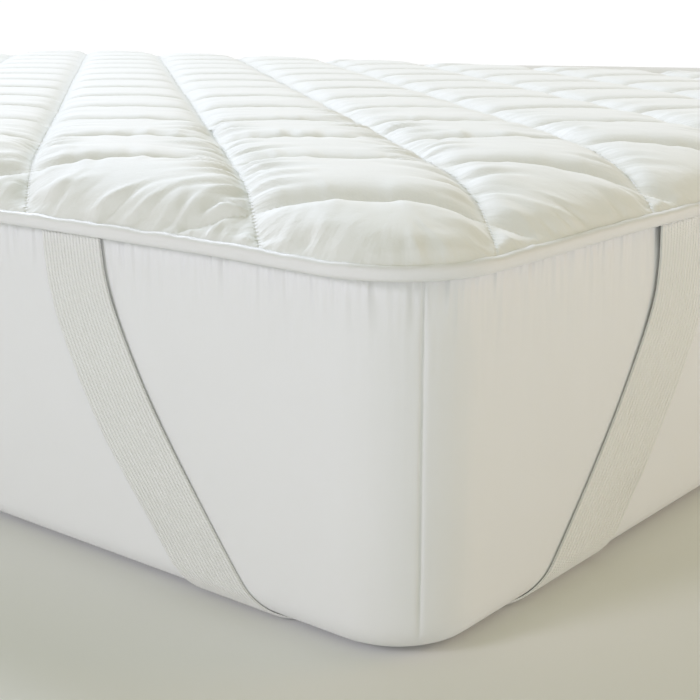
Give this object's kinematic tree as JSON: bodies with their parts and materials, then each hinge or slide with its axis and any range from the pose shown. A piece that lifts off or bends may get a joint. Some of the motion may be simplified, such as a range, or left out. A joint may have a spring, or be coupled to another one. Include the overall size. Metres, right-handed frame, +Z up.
{
  "type": "quilted mattress protector on a mattress",
  "caption": "Diamond-quilted filled mattress protector with rolled edge binding and elastic straps across the corners, fitted on a plain mattress.",
  "frame": {"origin": "middle of the mattress's underside, in the plane that it rests on", "axes": "+X across the bed, +Y along the bed towards its head, +Z up; the corner at -X, -Y is the one in the picture"},
  "size_m": [1.3892, 1.9222, 0.2662],
  "materials": {
    "mattress_cover": "smooth close-knit white ticking, matt",
    "quilted_cover": "soft white brushed microfibre over filling, quilted in diamonds, faint sheen",
    "binding_tape": "smooth white folded tape, satin",
    "strap_elastic": "white knitted elastic with fine lengthwise ribs"
  },
  "bodies": {
    "root": {"mattress": "mattress_cover", "quilted_panel": "quilted_cover", "edge_binding": "binding_tape", "corner_strap_foot_left": "strap_elastic", "corner_strap_foot_right": "strap_elastic", "corner_strap_head_left": "strap_elastic", "corner_strap_head_right": "strap_elastic"}
  },
  "joints": []
}
